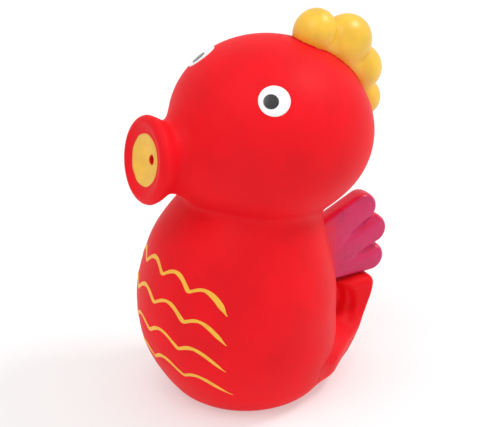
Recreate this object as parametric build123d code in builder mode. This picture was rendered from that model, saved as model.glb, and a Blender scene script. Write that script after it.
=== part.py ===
"""Seahorse bath squirter: a hollow soft-vinyl toy with a squirt hole in its mouth.

Frame: +Z up, the flat base stands on Z = 0 with its centre at the origin,
the snout points along -Y and the toy's left side is +X. Lengths are millimetres.

The head, snout, crest, dorsal fin, tail and barrel are moulded as one thin wall on the
real toy. Here each moulded feature and each painted area is its own solid.
"""
import os
from math import cos, pi, radians, sin

from build123d import *

os.makedirs("parts", exist_ok=True)

# ---- driving dimensions -----------------------------------------------------------------
wall = 2.0                    # thickness of the vinyl wall
paint = 0.2                   # raised thickness of sprayed and printed paint
reach = 60.0                  # longer than any cut has to be

# barrel of the body: (height, radius, centre along Y); it leans forward at the chest
body_sections = [
    (0.0, 15.8, 0.0),
    (1.2, 17.6, 0.1),
    (3.5, 19.7, 0.1),
    (8.0, 22.1, -0.6),
    (14.0, 24.0, -1.6),
    (21.0, 24.7, -2.4),
    (29.0, 24.7, -2.5),
    (36.0, 23.3, -2.3),
    (43.0, 21.1, -1.7),
    (50.0, 18.0, 0.6),
    (57.0, 16.4, 3.5),
]
body_top = body_sections[-1][0]

# head: an oblate egg, tipped so that the forehead faces up
head_centre = (0.0, 7.2, 68.7)
head_radius = 25.0            # across
head_half_height = 22.3       # along its own upright axis
head_pitch = radians(16.0)
neck_bore_radius = 11.0       # passage between the two hollows
neck_bore_bottom = 40.0

# snout: a trumpet on its own axis, with a dished mouth and the squirt hole
mouth_centre = (0.0, -27.7, 66.4)   # middle of the lip's front edge
snout_tilt = radians(13.0)    # the mouth looks this much upwards
lip_outer_radius = 10.7
lip_crest_radius = 8.7
mouth_radius = 6.7
throat_radius = 8.8
snout_length = 20.0           # from the lip to inside the head
dish_edge_depth = 0.8
dish_depth = 2.6
squirt_hole_radius = 1.0
painted_hole_radius = 1.3

# crest: four rounded lobes along the head's mid-line, placed from the head's centre
crest_lobes = [               # (back, up, radius, half thickness)
    (11.3, 22.2, 5.7, 5.6),
    (20.2, 17.4, 7.8, 6.3),
    (24.9, 11.0, 6.4, 5.9),
    (25.9, 2.8, 5.2, 5.2),
]

# dorsal fin: three fingers fanned out from a root on the mid-line of the back
fin_root = (22.6, 30.3)       # (Y, Z) of the root's middle, where the fin bends
fin_half_thickness = 2.6
fin_edge_round = 0.9
fin_fingers = [               # (tip Y, tip Z, tip radius, low root Z, high root Z)
    (33.2, 41.9, 3.6, 31.5, 37.8),
    (36.0, 34.9, 3.9, 26.0, 33.5),
    (35.8, 28.0, 3.4, 22.8, 29.0),
]
fin_clearance = 0.6           # room to bend at the root

# tail: a curl lying against the lower back, with a spiral groove on each side
tail_half_thickness = 4.6
tail_round = 1.6
curl_centre = (26.2, 16.0)    # (Y, Z)
curl_radius = 3.9
curl_groove_width = 2.2
curl_groove_depth = 1.4
curl_steps = range(-1, 11)    # points along the groove
curl_steps_in_turn = 10
curl_steps_to_middle = 16     # how many steps would wind the groove down to its middle

# squeeze zones: an oval area of each flank that is pressed inwards
squeeze_centre = (-2.4, 23.0)   # (Y, Z)
squeeze_half_length = 12.5
squeeze_half_height = 12.0
squeeze_clearance = 0.3

# eyes: printed discs on the head, given by their direction from the head's centre; the
# right eye is printed nearer to the mid-line than the left one
eye_directions = [            # (side, degrees from straight ahead towards +X, degrees up)
    ("left", 62.5, 34.5),
    ("right", -35.0, 45.5),
]
eye_radius = 4.05
pupil_radius = 1.85
pupil_forward = 0.5           # the pupil sits this far forward of the eye's middle

# belly waves: printed lines round the chest
wave_heights = [39.2, 31.6, 23.1, 15.0]
wave_phases = [-0.5, -1.8, -4.2, -4.6]     # along X, where one crest of each line lies
wave_half_span = 19.0
wave_pitch = 9.3
wave_height = 1.15
wave_droop = 6.0              # how much lower each line's ends are than its middle
wave_width = 1.05


# ---- shared forms -----------------------------------------------------------------------
def egg_form(place, half_width, half_depth, half_height):
    """Egg with three half sizes along the X, Y and Z of the plane it is placed on."""
    with BuildPart() as form:
        Sphere(1)
        scale(by=(half_width, half_depth, half_height))
    return place * form.part


def body_form(grow):
    """Barrel of the body, larger all round than the outer skin by grow."""
    with BuildPart() as form:
        for height, radius, centre in body_sections:
            with BuildSketch(Plane((0, centre, height))):
                Circle(radius + grow)
        loft()
    return form.part


def head_form(grow):
    """The head's egg, larger all round than the outer skin by grow."""
    head_up = (0, sin(head_pitch), cos(head_pitch))
    head_place = Plane(head_centre, x_dir=(1, 0, 0), z_dir=head_up)
    return egg_form(head_place, head_radius + grow, head_radius + grow, head_half_height + grow)


snout_direction = Vector(0, -cos(snout_tilt), sin(snout_tilt))
# sketches on this plane run forward along the snout in X and outward from its axis in Y
snout_plane = Plane(mouth_centre, x_dir=snout_direction, z_dir=(1, 0, 0))
snout_axis = Axis(mouth_centre, snout_direction)


def turned_about_snout(outline, curve=Polyline):
    """Solid turned about the snout's axis from an outline of (forward, outward) points."""
    with BuildPart() as form:
        with BuildSketch(snout_plane):
            with BuildLine():
                curve(*outline)
                Line(outline[-1], (outline[-1][0], 0))
                Line((outline[-1][0], 0), (outline[0][0], 0))
                Line((outline[0][0], 0), outline[0])
            make_face()
        revolve(axis=snout_axis)
    return form.part


def snout_form(grow):
    """Trumpet from inside the head to the lip, larger all round by grow."""
    return turned_about_snout([
        (-snout_length, 12.6 + grow),
        (-14.0, 11.4 + grow),
        (-10.0, 9.7 + grow),
        (-6.5, throat_radius + grow),
        (-3.6, 9.9 + grow),
        (-1.7, lip_outer_radius + grow),
        (-0.3, lip_outer_radius - 0.9 + grow),
        (grow, lip_crest_radius),
    ], curve=Spline)


def dish_form(deeper):
    """The mouth's dish, cut deeper than the bare vinyl by deeper."""
    return turned_about_snout([
        (0.0, lip_crest_radius),
        (-0.25 - deeper / 2, mouth_radius + 0.8),
        (-dish_edge_depth - deeper, mouth_radius),
        (-dish_edge_depth - deeper - 0.9, mouth_radius / 2),
        (-dish_depth - deeper, squirt_hole_radius),
    ])


def skin_on(form_function, low, high):
    """Thin layer between two heights above a form's outer skin."""
    return form_function(high) - form_function(low)


# ---- body -------------------------------------------------------------------------------
body_outside = body_form(0)
head_outside = head_form(0)
head_inside = head_form(-wall)

with BuildPart() as body_cavity:
    add(body_form(-wall))
    with Locations((0, 0, wall)):
        Box(reach, 2 * reach, body_top, align=(Align.CENTER, Align.CENTER, Align.MIN),
            mode=Mode.INTERSECT)


def squeeze_prism(side, grow):
    """Oval prism through one flank; side is +1 for the toy's left."""
    with BuildPart() as prism:
        with BuildSketch(Plane((0, squeeze_centre[0], squeeze_centre[1]),
                               x_dir=(0, side, 0), z_dir=(side, 0, 0))):
            Ellipse(squeeze_half_length + grow, squeeze_half_height + grow)
        extrude(amount=reach)
    return prism.part


with BuildPart() as body_wall:
    add(body_outside)
    add(body_cavity.part, mode=Mode.SUBTRACT)
    add(head_outside, mode=Mode.SUBTRACT)

with BuildPart() as body_shell:
    add(body_wall.part)
    for side in (-1, 1):
        add(squeeze_prism(side, squeeze_clearance), mode=Mode.SUBTRACT)
body_shell.part.label = "body_shell"
export_step(body_shell.part, "parts/body_shell.step")

for side, side_name in ((1, "left"), (-1, "right")):
    with BuildPart() as squeeze_panel:
        add(body_wall.part)
        add(squeeze_prism(side, 0), mode=Mode.INTERSECT)
    squeeze_panel.part.label = f"squeeze_panel_{side_name}"
    export_step(squeeze_panel.part, f"parts/squeeze_panel_{side_name}.step")

# ---- head and snout ---------------------------------------------------------------------
snout_hollow = turned_about_snout([
    (-snout_length - wall, 10.0),
    (-13.0, 8.6),
    (-9.0, throat_radius - wall),
    (-dish_depth - wall - 1.0, throat_radius - wall),
    (-dish_depth - wall, throat_radius - wall - 1.0),
])

with BuildPart() as head_shell:
    add(head_outside)
    add(head_inside, mode=Mode.SUBTRACT)
    add(snout_hollow, mode=Mode.SUBTRACT)
    with Locations((0, head_centre[1] - 2.0, neck_bore_bottom)):
        Cylinder(neck_bore_radius, body_top - neck_bore_bottom,
                 align=(Align.CENTER, Align.CENTER, Align.MIN), mode=Mode.SUBTRACT)
head_shell.part.label = "head_shell"
export_step(head_shell.part, "parts/head_shell.step")

with BuildPart() as snout:
    add(snout_form(0))
    add(dish_form(0), mode=Mode.SUBTRACT)
    add(snout_hollow, mode=Mode.SUBTRACT)
    add(head_outside, mode=Mode.SUBTRACT)
    add(body_outside, mode=Mode.SUBTRACT)
    with Locations(Plane(mouth_centre, x_dir=(1, 0, 0), z_dir=snout_direction)):
        Cylinder(squirt_hole_radius, 4 * dish_depth, mode=Mode.SUBTRACT)
snout.part.label = "snout"
export_step(snout.part, "parts/snout.step")

with BuildPart() as mouth_disc:
    add(dish_form(0))
    add(dish_form(-paint), mode=Mode.SUBTRACT)
    with Locations(Plane(mouth_centre, x_dir=(1, 0, 0), z_dir=snout_direction)):
        Cylinder(mouth_radius, 4 * dish_depth, mode=Mode.INTERSECT)
        Cylinder(painted_hole_radius, 4 * dish_depth, mode=Mode.SUBTRACT)
mouth_disc.part.label = "mouth_disc"
export_step(mouth_disc.part, "parts/mouth_disc.step")


# ---- crest ------------------------------------------------------------------------------
def crest_lobe(back, up, radius, half_thickness):
    """One rounded lobe, flattened sideways."""
    lobe_centre = (0, head_centre[1] + back, head_centre[2] + up)
    return egg_form(Plane(lobe_centre), half_thickness, radius, radius)


with BuildPart() as crest:
    for lobe_sizes in crest_lobes:
        add(crest_lobe(*lobe_sizes))
    add(head_outside, mode=Mode.SUBTRACT)
crest.part.label = "crest"
export_step(crest.part, "parts/crest.step")


# ---- dorsal fin -------------------------------------------------------------------------
def fin_finger(tip_y, tip_z, tip_radius, low_z, high_z):
    """One rounded finger from the fin's root to its tip."""
    tip = Vector(tip_y, tip_z)
    along = (tip - Vector(fin_root[0], (low_z + high_z) / 2)).normalized()
    across = Vector(-along.Y, along.X) * tip_radius
    with BuildPart() as finger:
        with BuildSketch(Plane.YZ.offset(-fin_half_thickness)):
            Polygon((fin_root[0] - 1, low_z), tip - across, tip + across,
                    (fin_root[0] - 1, high_z), align=None)
            with Locations(tip):
                Circle(tip_radius)
        extrude(amount=2 * fin_half_thickness)
        flats = finger.faces().filter_by(Axis.X)
        fillet(flats.edges(), fin_edge_round)
    return finger.part


with BuildPart() as dorsal_fin:
    for finger_sizes in fin_fingers:
        add(fin_finger(*finger_sizes))
    add(body_form(fin_clearance), mode=Mode.SUBTRACT)
dorsal_fin.part.label = "dorsal_fin"
export_step(dorsal_fin.part, "parts/dorsal_fin.step")

# ---- tail -------------------------------------------------------------------------------
def curl_point(step):
    """Point (Y, Z) of the spiral groove, which winds inwards as step grows."""
    angle = 2 * pi * step / curl_steps_in_turn + pi
    radius = curl_radius * (1 - step / curl_steps_to_middle)
    return (curl_centre[0] + radius * cos(angle), curl_centre[1] - radius * sin(angle))


with BuildPart() as tail_curl:
    with BuildSketch(Plane.YZ.offset(-tail_half_thickness)):
        with BuildLine():
            tail_outline = Spline((14, 1.0), (24.0, 1.2), (29.0, 6.5), (32.4, 13.0), (33.4, 18.5),
                                  (31.0, 21.9), (27.0, 21.6), (21.0, 20.8))
            Line(tail_outline @ 1, tail_outline @ 0)
        make_face()
    extrude(amount=2 * tail_half_thickness)
    outline_edges = tail_curl.faces().filter_by(Axis.X).edges()
    fillet(outline_edges, tail_round)
    for side in (-1, 1):
        with BuildSketch(Plane.YZ.offset(side * tail_half_thickness)):
            with BuildLine() as spiral:
                Spline([curl_point(step) for step in curl_steps])
            trace(line_width=curl_groove_width)
        extrude(amount=-side * curl_groove_depth, mode=Mode.SUBTRACT)
    add(body_outside, mode=Mode.SUBTRACT)
tail_curl.part.label = "tail_curl"
export_step(tail_curl.part, "parts/tail_curl.step")

# ---- eyes -------------------------------------------------------------------------------
white_layer = skin_on(head_form, 0, paint)
pupil_layer = skin_on(head_form, paint, 2 * paint)
for side_name, azimuth, elevation in eye_directions:
    eye_azimuth = radians(azimuth)
    eye_elevation = radians(elevation)
    outward = Vector(sin(eye_azimuth) * cos(eye_elevation),
                     -cos(eye_azimuth) * cos(eye_elevation), sin(eye_elevation))
    eye_plane = Plane(head_centre, z_dir=outward)
    forward_in_plane = Vector(0, -1, 0) - outward * Vector(0, -1, 0).dot(outward)
    pupil_plane = Plane(Vector(*head_centre) + forward_in_plane.normalized() * pupil_forward,
                        z_dir=outward)

    with BuildPart() as eye_white:
        with BuildSketch(eye_plane):
            Circle(eye_radius)
        extrude(amount=reach)
        add(white_layer, mode=Mode.INTERSECT)
    eye_white.part.label = f"eye_white_{side_name}"
    export_step(eye_white.part, f"parts/eye_white_{side_name}.step")

    with BuildPart() as pupil:
        with BuildSketch(pupil_plane):
            Circle(pupil_radius)
        extrude(amount=reach)
        add(pupil_layer, mode=Mode.INTERSECT)
    pupil.part.label = f"pupil_{side_name}"
    export_step(pupil.part, f"parts/pupil_{side_name}.step")

# ---- belly waves ------------------------------------------------------------------------
body_painted = body_form(paint)
wave_stations = [wave_half_span * (step / 12 - 1) for step in range(25)]
for number, (middle_height, phase) in enumerate(zip(wave_heights, wave_phases), start=1):
    centre_line = [
        (across,
         middle_height - wave_droop * (across / wave_half_span) ** 2
         + wave_height * cos(2 * pi * (across - phase) / wave_pitch))
        for across in wave_stations
    ]
    with BuildPart() as belly_wave:
        with BuildSketch(Plane.XZ):
            with BuildLine():
                Spline(centre_line)
            trace(line_width=wave_width)
        extrude(amount=reach)
        add(body_painted, mode=Mode.INTERSECT)
        add(body_outside, mode=Mode.SUBTRACT)
    belly_wave.part.label = f"belly_wave_{number}"
    export_step(belly_wave.part, f"parts/belly_wave_{number}.step")
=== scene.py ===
"""Looks of a soft-vinyl seahorse bath squirter, laid out as a Blender add-on.

Shapes are worked out in millimetres in the part's own frame (+Z up, snout towards -Y,
the toy's left side +X, base on Z = 0) and turned to metres when a mesh is made.
"""
from math import cos, pi, radians, sin

import bpy
import numpy as np
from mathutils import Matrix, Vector


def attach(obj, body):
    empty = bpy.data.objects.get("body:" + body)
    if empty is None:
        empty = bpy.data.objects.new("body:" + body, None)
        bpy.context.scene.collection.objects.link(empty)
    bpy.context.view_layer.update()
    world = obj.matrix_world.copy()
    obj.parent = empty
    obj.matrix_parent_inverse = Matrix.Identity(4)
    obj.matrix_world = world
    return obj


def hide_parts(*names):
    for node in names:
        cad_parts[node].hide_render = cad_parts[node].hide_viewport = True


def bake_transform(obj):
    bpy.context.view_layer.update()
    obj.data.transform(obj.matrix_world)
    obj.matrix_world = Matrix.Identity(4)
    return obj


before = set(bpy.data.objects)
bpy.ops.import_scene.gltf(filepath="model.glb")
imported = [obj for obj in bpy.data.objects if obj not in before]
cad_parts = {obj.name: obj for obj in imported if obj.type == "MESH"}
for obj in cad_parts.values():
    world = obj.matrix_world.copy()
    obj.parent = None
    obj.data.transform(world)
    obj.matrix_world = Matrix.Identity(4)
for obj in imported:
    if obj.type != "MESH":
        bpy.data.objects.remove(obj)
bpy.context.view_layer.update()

bl_info = {
    "name": "Seahorse Bath Squirter",
    "version": (1, 0, 0),
    "blender": (4, 5, 0),
    "location": "View3D > Sidebar > Seahorse",
    "description": "Builds a soft-vinyl seahorse squirter from its sizes and colours",
    "category": "Object",
}

MM = 0.001                    # one millimetre in metres

# ---- driving sizes, in millimetres ------------------------------------------------------
HEAD_CENTRE = np.array([0.0, 7.2, 68.7])
HEAD_PITCH = radians(16.0)    # the forehead faces up by this much
MOUTH_CENTRE = np.array([0.0, -27.8, 66.7])
SNOUT_TILT = radians(9.5)     # the mouth looks up by this much
SNOUT_FORWARD = np.array([0.0, -cos(SNOUT_TILT), sin(SNOUT_TILT)])
SNOUT_UP = np.array([0.0, sin(SNOUT_TILT), cos(SNOUT_TILT)])
SIDE = np.array([1.0, 0.0, 0.0])
SIDES = ((1, "left"), (-1, "right"))

# barrel of the body: height, radius and how far back its middle stands
BODY_HEIGHTS = [0.0, 0.25, 0.7, 1.5, 3.5, 8.0, 14.0, 21.0, 29.0, 36.0, 43.0, 50.0, 53.0, 57.0,
                63.0]
BODY_RADII = [15.2, 16.0, 16.8, 17.9, 19.7, 22.1, 24.0, 24.7, 24.7, 23.3, 21.1, 17.9, 16.3, 13.9,
              9.0]
BODY_MIDDLES = [0.0, 0.0, 0.1, 0.1, 0.1, -0.6, -1.6, -2.4, -2.5, -2.3, -1.7, 0.6, 2.0, 3.5,
                6.0]

# trumpet of the snout behind its lip: distance back from the lip, and radius
SNOUT_STATIONS = [1.7, 3.0, 4.6, 6.4, 8.4, 11.0, 14.0, 18.0, 24.0]
SNOUT_RADII = [10.7, 10.2, 9.2, 8.35, 8.0, 8.1, 8.6, 9.0, 9.0]
LIP_RADIUS = 10.7             # widest part of the lip
LIP_WIDEST_BACK = 1.7
LIP_CREST_RADIUS = 8.9
DISH_RADIUS = 6.3             # edge of the painted mouth
DISH_EDGE_DEPTH = 0.8
DISH_DEPTH = 2.6
HOLE_RADIUS = 1.0
HOLE_DEPTH = 4.5
THROAT_ROWS = 0.35            # share of the head's rows that run along the throat
THROAT_LENGTH = 0.3           # share of the way back to the pole that they cover

# jowl: a second egg that fills the head out above the neck, in the part's frame
JOWL_CENTRE = np.array([0.0, 3.0, 62.0])
JOWL_SIZES = np.array([21.5, 19.8, 17.2])
JOWL_BLEND = 4.0

NECK_BLEND = 2.4              # width of the soft crease between body and head
SNOUT_END = 24.0              # the trumpet stops inside the head
SNOUT_BLEND = 7.0             # width of the soft flare between snout and head


# ---- arithmetic of shapes ---------------------------------------------------------------
def through(xs, ys, x):
    """Smooth curve through points: cubic pieces whose slope at each point is the mean
    slope of its neighbours, weighted by the shorter gap."""
    xs = np.asarray(xs, float)
    ys = np.asarray(ys, float)
    gaps = np.diff(xs)
    rises = np.diff(ys) / gaps
    slopes = np.empty_like(ys)
    slopes[1:-1] = (rises[:-1] * gaps[1:] + rises[1:] * gaps[:-1]) / (gaps[1:] + gaps[:-1])
    slopes[0] = rises[0]
    slopes[-1] = rises[-1]
    x = np.clip(x, xs[0], xs[-1])
    i = np.clip(np.searchsorted(xs, x, side="right") - 1, 0, len(gaps) - 1)
    t = (x - xs[i]) / gaps[i]
    rise_in = gaps[i] * slopes[i]
    rise_out = gaps[i] * slopes[i + 1]
    return ((1 + 2 * t) * (1 - t) ** 2 * ys[i] + t * (1 - t) ** 2 * rise_in
            + t * t * (3 - 2 * t) * ys[i + 1] - t * t * (1 - t) * rise_out)


def ease(low, high, x):
    """Rises smoothly from 0 at low to 1 at high: 3t^2 - 2t^3."""
    t = np.clip((x - low) / (high - low), 0, 1)
    return t * t * (3 - 2 * t)


def soft_union(a, b, width):
    """Union of two distance fields with a fillet: the smaller of the two, less
    (width - |a - b|)^2 / (4 width) where they are closer than width."""
    near = np.maximum(width - np.abs(a - b), 0) / width
    return np.minimum(a, b) - near * near * width / 4


def egg_distance(p, half_sizes):
    """Signed distance to an egg, to first order: k0 (k0 - 1) / k1, with k0 the length of
    p over the half sizes and k1 the length of p over their squares."""
    k0 = np.sqrt(((p / half_sizes) ** 2).sum(-1)) + 1e-9
    k1 = np.sqrt(((p / half_sizes ** 2) ** 2).sum(-1)) + 1e-9
    return k0 * (k0 - 1) / k1


def first_root(field, low, high, steps=44):
    """Where a field turns from inside to outside between two arrays of distances,
    by halving the gap again and again."""
    low = np.array(low, float)
    high = np.array(high, float)
    for _ in range(steps):
        middle = (low + high) / 2
        inside = field(middle) < 0
        low = np.where(inside, middle, low)
        high = np.where(inside, high, middle)
    return (low + high) / 2


def body_radius(z):
    """Radius of the barrel at a height."""
    return through(BODY_HEIGHTS, BODY_RADII, z)


def body_middle(z):
    """How far back the barrel's middle stands at a height."""
    return through(BODY_HEIGHTS, BODY_MIDDLES, z)


def body_distance(p):
    """Distance outside the barrel, measured level from its leaning middle line."""
    z = p[..., 2]
    return np.hypot(p[..., 0], p[..., 1] - body_middle(z)) - body_radius(z)


def head_sizes():
    """Half width, length and height of the head's egg."""
    sizes = bpy.context.scene.seahorse_sizes
    return np.array([sizes.head_width / 2, sizes.head_length / 2, sizes.head_height / 2]) / MM


def to_head(p):
    """Point in the head's own tipped frame, from its centre."""
    q = p - HEAD_CENTRE
    y = q[..., 1] * cos(HEAD_PITCH) - q[..., 2] * sin(HEAD_PITCH)
    z = q[..., 1] * sin(HEAD_PITCH) + q[..., 2] * cos(HEAD_PITCH)
    return np.stack([q[..., 0], y, z], -1)


def head_distance(p):
    """Head without its snout: the egg and the jowl under it."""
    jowl = egg_distance(p - JOWL_CENTRE, JOWL_SIZES)
    return soft_union(egg_distance(to_head(p), head_sizes()), jowl, JOWL_BLEND)


def snout_distance(p):
    """Distance outside the trumpet, square to the snout's axis or beyond its two ends."""
    q = p - MOUTH_CENTRE
    back = -(q @ SNOUT_FORWARD)
    out = np.hypot(q @ SIDE, q @ SNOUT_UP)
    aside = out - through(SNOUT_STATIONS, SNOUT_RADII, back)
    return np.maximum(aside, np.maximum(back - SNOUT_END, -back))


def head_and_snout_distance(p):
    """Head and trumpet joined by a soft flare."""
    return soft_union(head_distance(p), snout_distance(p), SNOUT_BLEND)


def around(n):
    """n even angles round a full turn."""
    return np.arange(n) * 2 * pi / n


# ---- meshes -----------------------------------------------------------------------------
def fill_mesh(name, points, quads, triangles):
    """Mesh from point, quad and triangle arrays, in millimetres, with faces outwards."""
    points = np.asarray(points, float)
    corners = points[triangles]
    split = points[np.concatenate([quads[:, [0, 1, 2]], quads[:, [0, 2, 3]]])]
    corners = np.concatenate([corners, split])
    volume = np.einsum("ij,ij->i", corners[:, 0], np.cross(corners[:, 1], corners[:, 2])).sum()
    if volume < 0:
        quads = quads[:, ::-1]
        triangles = triangles[:, ::-1]
    mesh = bpy.data.meshes.new(name)
    mesh.vertices.add(len(points))
    mesh.vertices.foreach_set("co", (points * MM).astype(np.float32).ravel())
    mesh.loops.add(quads.size + triangles.size)
    mesh.loops.foreach_set("vertex_index", np.concatenate([quads.ravel(), triangles.ravel()]))
    mesh.polygons.add(len(quads) + len(triangles))
    starts = np.concatenate([np.arange(len(quads)) * 4, quads.size + np.arange(len(triangles)) * 3])
    mesh.polygons.foreach_set("loop_start", starts)
    mesh.update(calc_edges=True)
    mesh.validate()
    mesh.polygons.foreach_set("use_smooth", np.ones(len(mesh.polygons), bool))
    piece = bpy.data.objects.new(name, mesh)
    bpy.context.scene.collection.objects.link(piece)
    return piece


def balloon(name, rows):
    """Closed piece from rows of points that each run once round; the first and the last
    row are single points, where the surface is gathered into a pole."""
    count, around_count = rows.shape[0] - 2, rows.shape[1]
    points = np.concatenate([rows[0, :1], rows[1:-1].reshape(-1, 3), rows[-1, :1]])
    here = np.arange(around_count)
    after = (here + 1) % around_count
    ring = 1 + np.arange(count - 1)[:, None] * around_count
    quads = np.stack([ring + here, ring + after, ring + around_count + after,
                      ring + around_count + here], -1).reshape(-1, 4)
    last = 1 + (count - 1) * around_count
    top = len(points) - 1
    first_fan = np.stack([np.zeros_like(here), 1 + after, 1 + here], -1)
    last_fan = np.stack([np.full_like(here, top), last + here, last + after], -1)
    return fill_mesh(name, points, quads, np.concatenate([first_fan, last_fan]))


def ring_piece(name, rows):
    """Closed piece from rows that run once round, joined from the last row to the first."""
    count, around_count = rows.shape[:2]
    here = np.arange(around_count)
    after = (here + 1) % around_count
    row = np.arange(count)[:, None] * around_count
    next_row = (np.arange(count)[:, None] + 1) % count * around_count
    quads = np.stack([row + here, row + after, next_row + after, next_row + here], -1)
    return fill_mesh(name, rows.reshape(-1, 3), quads.reshape(-1, 4), np.zeros((0, 3), int))


def finish_piece(piece, material, nodes, body=None):
    """Gives a piece its material, hides the imported parts that it stands for, and puts it under
    its body if one is given.
    """
    piece.data.materials.append(bpy.data.materials[material])
    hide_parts(*nodes)
    if body:
        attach(piece, body)
    return piece


def blend_to_flank(piece):
    """Bakes the piece's placement into its mesh."""
    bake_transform(piece)


# ---- head and snout ---------------------------------------------------------------------
def snout_wheel(angles):
    """Directions square to the snout's axis, one for each angle from straight up."""
    return np.cos(angles)[:, None] * SNOUT_UP + np.sin(angles)[:, None] * SIDE


def head_rows():
    """Skin of the head and snout, as rows round the snout's axis.

    The front rows are turned: hole, dish and lip are radii at distances along the axis.
    Behind the lip each row lies square to the axis, and its points stand where the soft
    union of egg and trumpet turns from inside to outside; the rows' middles slide from
    the axis up to the egg's own middle line.
    """
    angles = around(224)
    dish_turn = np.linspace(0, 1, 16)
    dish_out = HOLE_RADIUS + (DISH_RADIUS - HOLE_RADIUS) * dish_turn
    dish_back = DISH_EDGE_DEPTH + (DISH_DEPTH - DISH_EDGE_DEPTH) * (1 - dish_turn ** 2)
    lip_turn = np.linspace(0, pi / 2, 12)[1:]
    inner_out = DISH_RADIUS + (LIP_CREST_RADIUS - DISH_RADIUS) * np.sin(lip_turn) ** 1.3
    inner_back = DISH_EDGE_DEPTH * (0.5 + 0.5 * np.cos(2 * lip_turn))
    outer_out = LIP_CREST_RADIUS + (LIP_RADIUS - LIP_CREST_RADIUS) * np.sin(lip_turn)
    outer_back = LIP_WIDEST_BACK * (1 - np.cos(lip_turn))
    hole_back = np.array([DISH_DEPTH + HOLE_DEPTH, DISH_DEPTH + HOLE_DEPTH,
                          DISH_DEPTH + HOLE_DEPTH / 2, DISH_DEPTH + 0.15])
    hole_out = np.array([0, HOLE_RADIUS, HOLE_RADIUS, HOLE_RADIUS])
    back = np.concatenate([hole_back, dish_back, inner_back, outer_back])
    out = np.concatenate([hole_out, dish_out, inner_out, outer_out])
    wheel = snout_wheel(angles)
    front = MOUTH_CENTRE - back[:, None, None] * SNOUT_FORWARD + out[:, None, None] * wheel

    half = head_sizes()
    centre_back = -(HEAD_CENTRE - MOUTH_CENTRE) @ SNOUT_FORWARD
    centre_up = (HEAD_CENTRE - MOUTH_CENTRE) @ SNOUT_UP
    pole_back = centre_back + first_root(
        lambda t: head_distance(HEAD_CENTRE - t * SNOUT_FORWARD), 0.0, 2 * half[1])
    turn = np.linspace(0, 1, 176)[1:]
    past_throat = (turn - THROAT_ROWS) / (1 - THROAT_ROWS)
    sweep = np.where(turn < THROAT_ROWS, turn / THROAT_ROWS * THROAT_LENGTH,
                     THROAT_LENGTH + (1 - THROAT_LENGTH) * np.sin(past_throat * pi / 2))
    station = LIP_WIDEST_BACK + (pole_back - LIP_WIDEST_BACK) * sweep
    lift = centre_up * ease(2 * LIP_WIDEST_BACK, centre_back, station)
    middle = (MOUTH_CENTRE - station[:, None] * SNOUT_FORWARD + lift[:, None] * SNOUT_UP)

    def field(reach):
        return head_and_snout_distance(middle[:, None] + reach[..., None] * wheel)

    shape = (len(station), len(angles))
    reach = first_root(field, np.zeros(shape), np.full(shape, 1.6 * half[0]))
    reach[-1] = 0
    rear = middle[:, None] + reach[..., None] * wheel
    return np.concatenate([front, rear])


# ---- body -------------------------------------------------------------------------------
NECK_SEARCH = (46.0, 62.0)    # heights between which the halves' top row is looked for
NECK_REACH = (8, 9)           # how far inside and outside the barrel its skin can lie
NECK_SMOOTHING = 13           # columns over which the top row's height is evened out
NECK_CROWN = (55.0, 58.0)     # the hidden cap: height of its middle line and of its top
BASE_DOME = 0.55              # how far the base is hollowed in its middle
SLOPE_STEP = 0.02             # step over which a field's slope is measured


def neck_distance(p):
    """Barrel, head and snout joined by the soft crease of the neck."""
    return soft_union(body_distance(p), head_and_snout_distance(p), NECK_BLEND)


def body_rows(side):
    """Skin of one half of the body, as rows of points from the base up to the neck.

    Round the outside each point stands where the soft union of barrel and head turns from
    inside to outside along a level line from the barrel's middle; the top row runs out on
    the head's underside where the fillet ends, which is higher or lower from place to
    place. Across the mid-plane the row closes along a straight line.
    """
    angles = np.linspace(0, pi, 121)
    outward = np.stack([side * np.sin(angles), -np.cos(angles), 0 * angles], -1)

    def reach_at(z):
        middle = np.stack([0 * z, body_middle(z), z], -1)

        def field(reach):
            return neck_distance(middle + reach[..., None] * outward)

        radius = body_radius(z)
        return first_root(field, radius - NECK_REACH[0], radius + NECK_REACH[1])

    trial = np.linspace(*NECK_SEARCH, 320)[:, None] + 0 * angles
    stand_out = reach_at(trial) - body_radius(trial)
    ended = np.argmax(stand_out > NECK_BLEND + 0.2, axis=0)
    top = trial[ended, np.arange(len(angles))]
    around_each = NECK_SMOOTHING // 2
    padded = np.concatenate([top[around_each:0:-1], top, top[-2:-2 - around_each:-1]])
    window = np.hanning(NECK_SMOOTHING)
    top = np.convolve(padded, window / window.sum(), mode="valid")

    climb = np.linspace(0, 1, 170)
    climb = 0.25 * climb + 0.75 * climb ** 1.25
    z = climb[:, None] * top
    reach = reach_at(z)
    outer = np.stack([0 * z, body_middle(z), z], -1) + reach[..., None] * outward

    edge = outer[0]
    base_middle = np.array([0, body_middle(0.0), BASE_DOME])
    shares = np.array([0.0, 0.35, 0.7, 0.9, 0.97])[:, None, None]
    base = base_middle + (edge - base_middle) * shares
    base[..., 2] = BASE_DOME * (1 - shares[..., 0] ** 4)
    rim = outer[-1]
    tuck = rim + np.array([0, 0, 0.9]) - 1.6 * outward
    crown = np.array([0, body_middle(NECK_CROWN[0]), NECK_CROWN[1]])
    caps = np.stack([tuck, crown + (tuck - crown) * 0.5, crown + 0 * tuck])
    skin = np.concatenate([base, outer, caps])

    chord_share = np.linspace(0, 1, 8)[1:-1][:, None]
    chord = skin[:, -1:] + (skin[:, :1] - skin[:, -1:]) * chord_share[None]
    return np.concatenate([skin, chord], 1)


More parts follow.
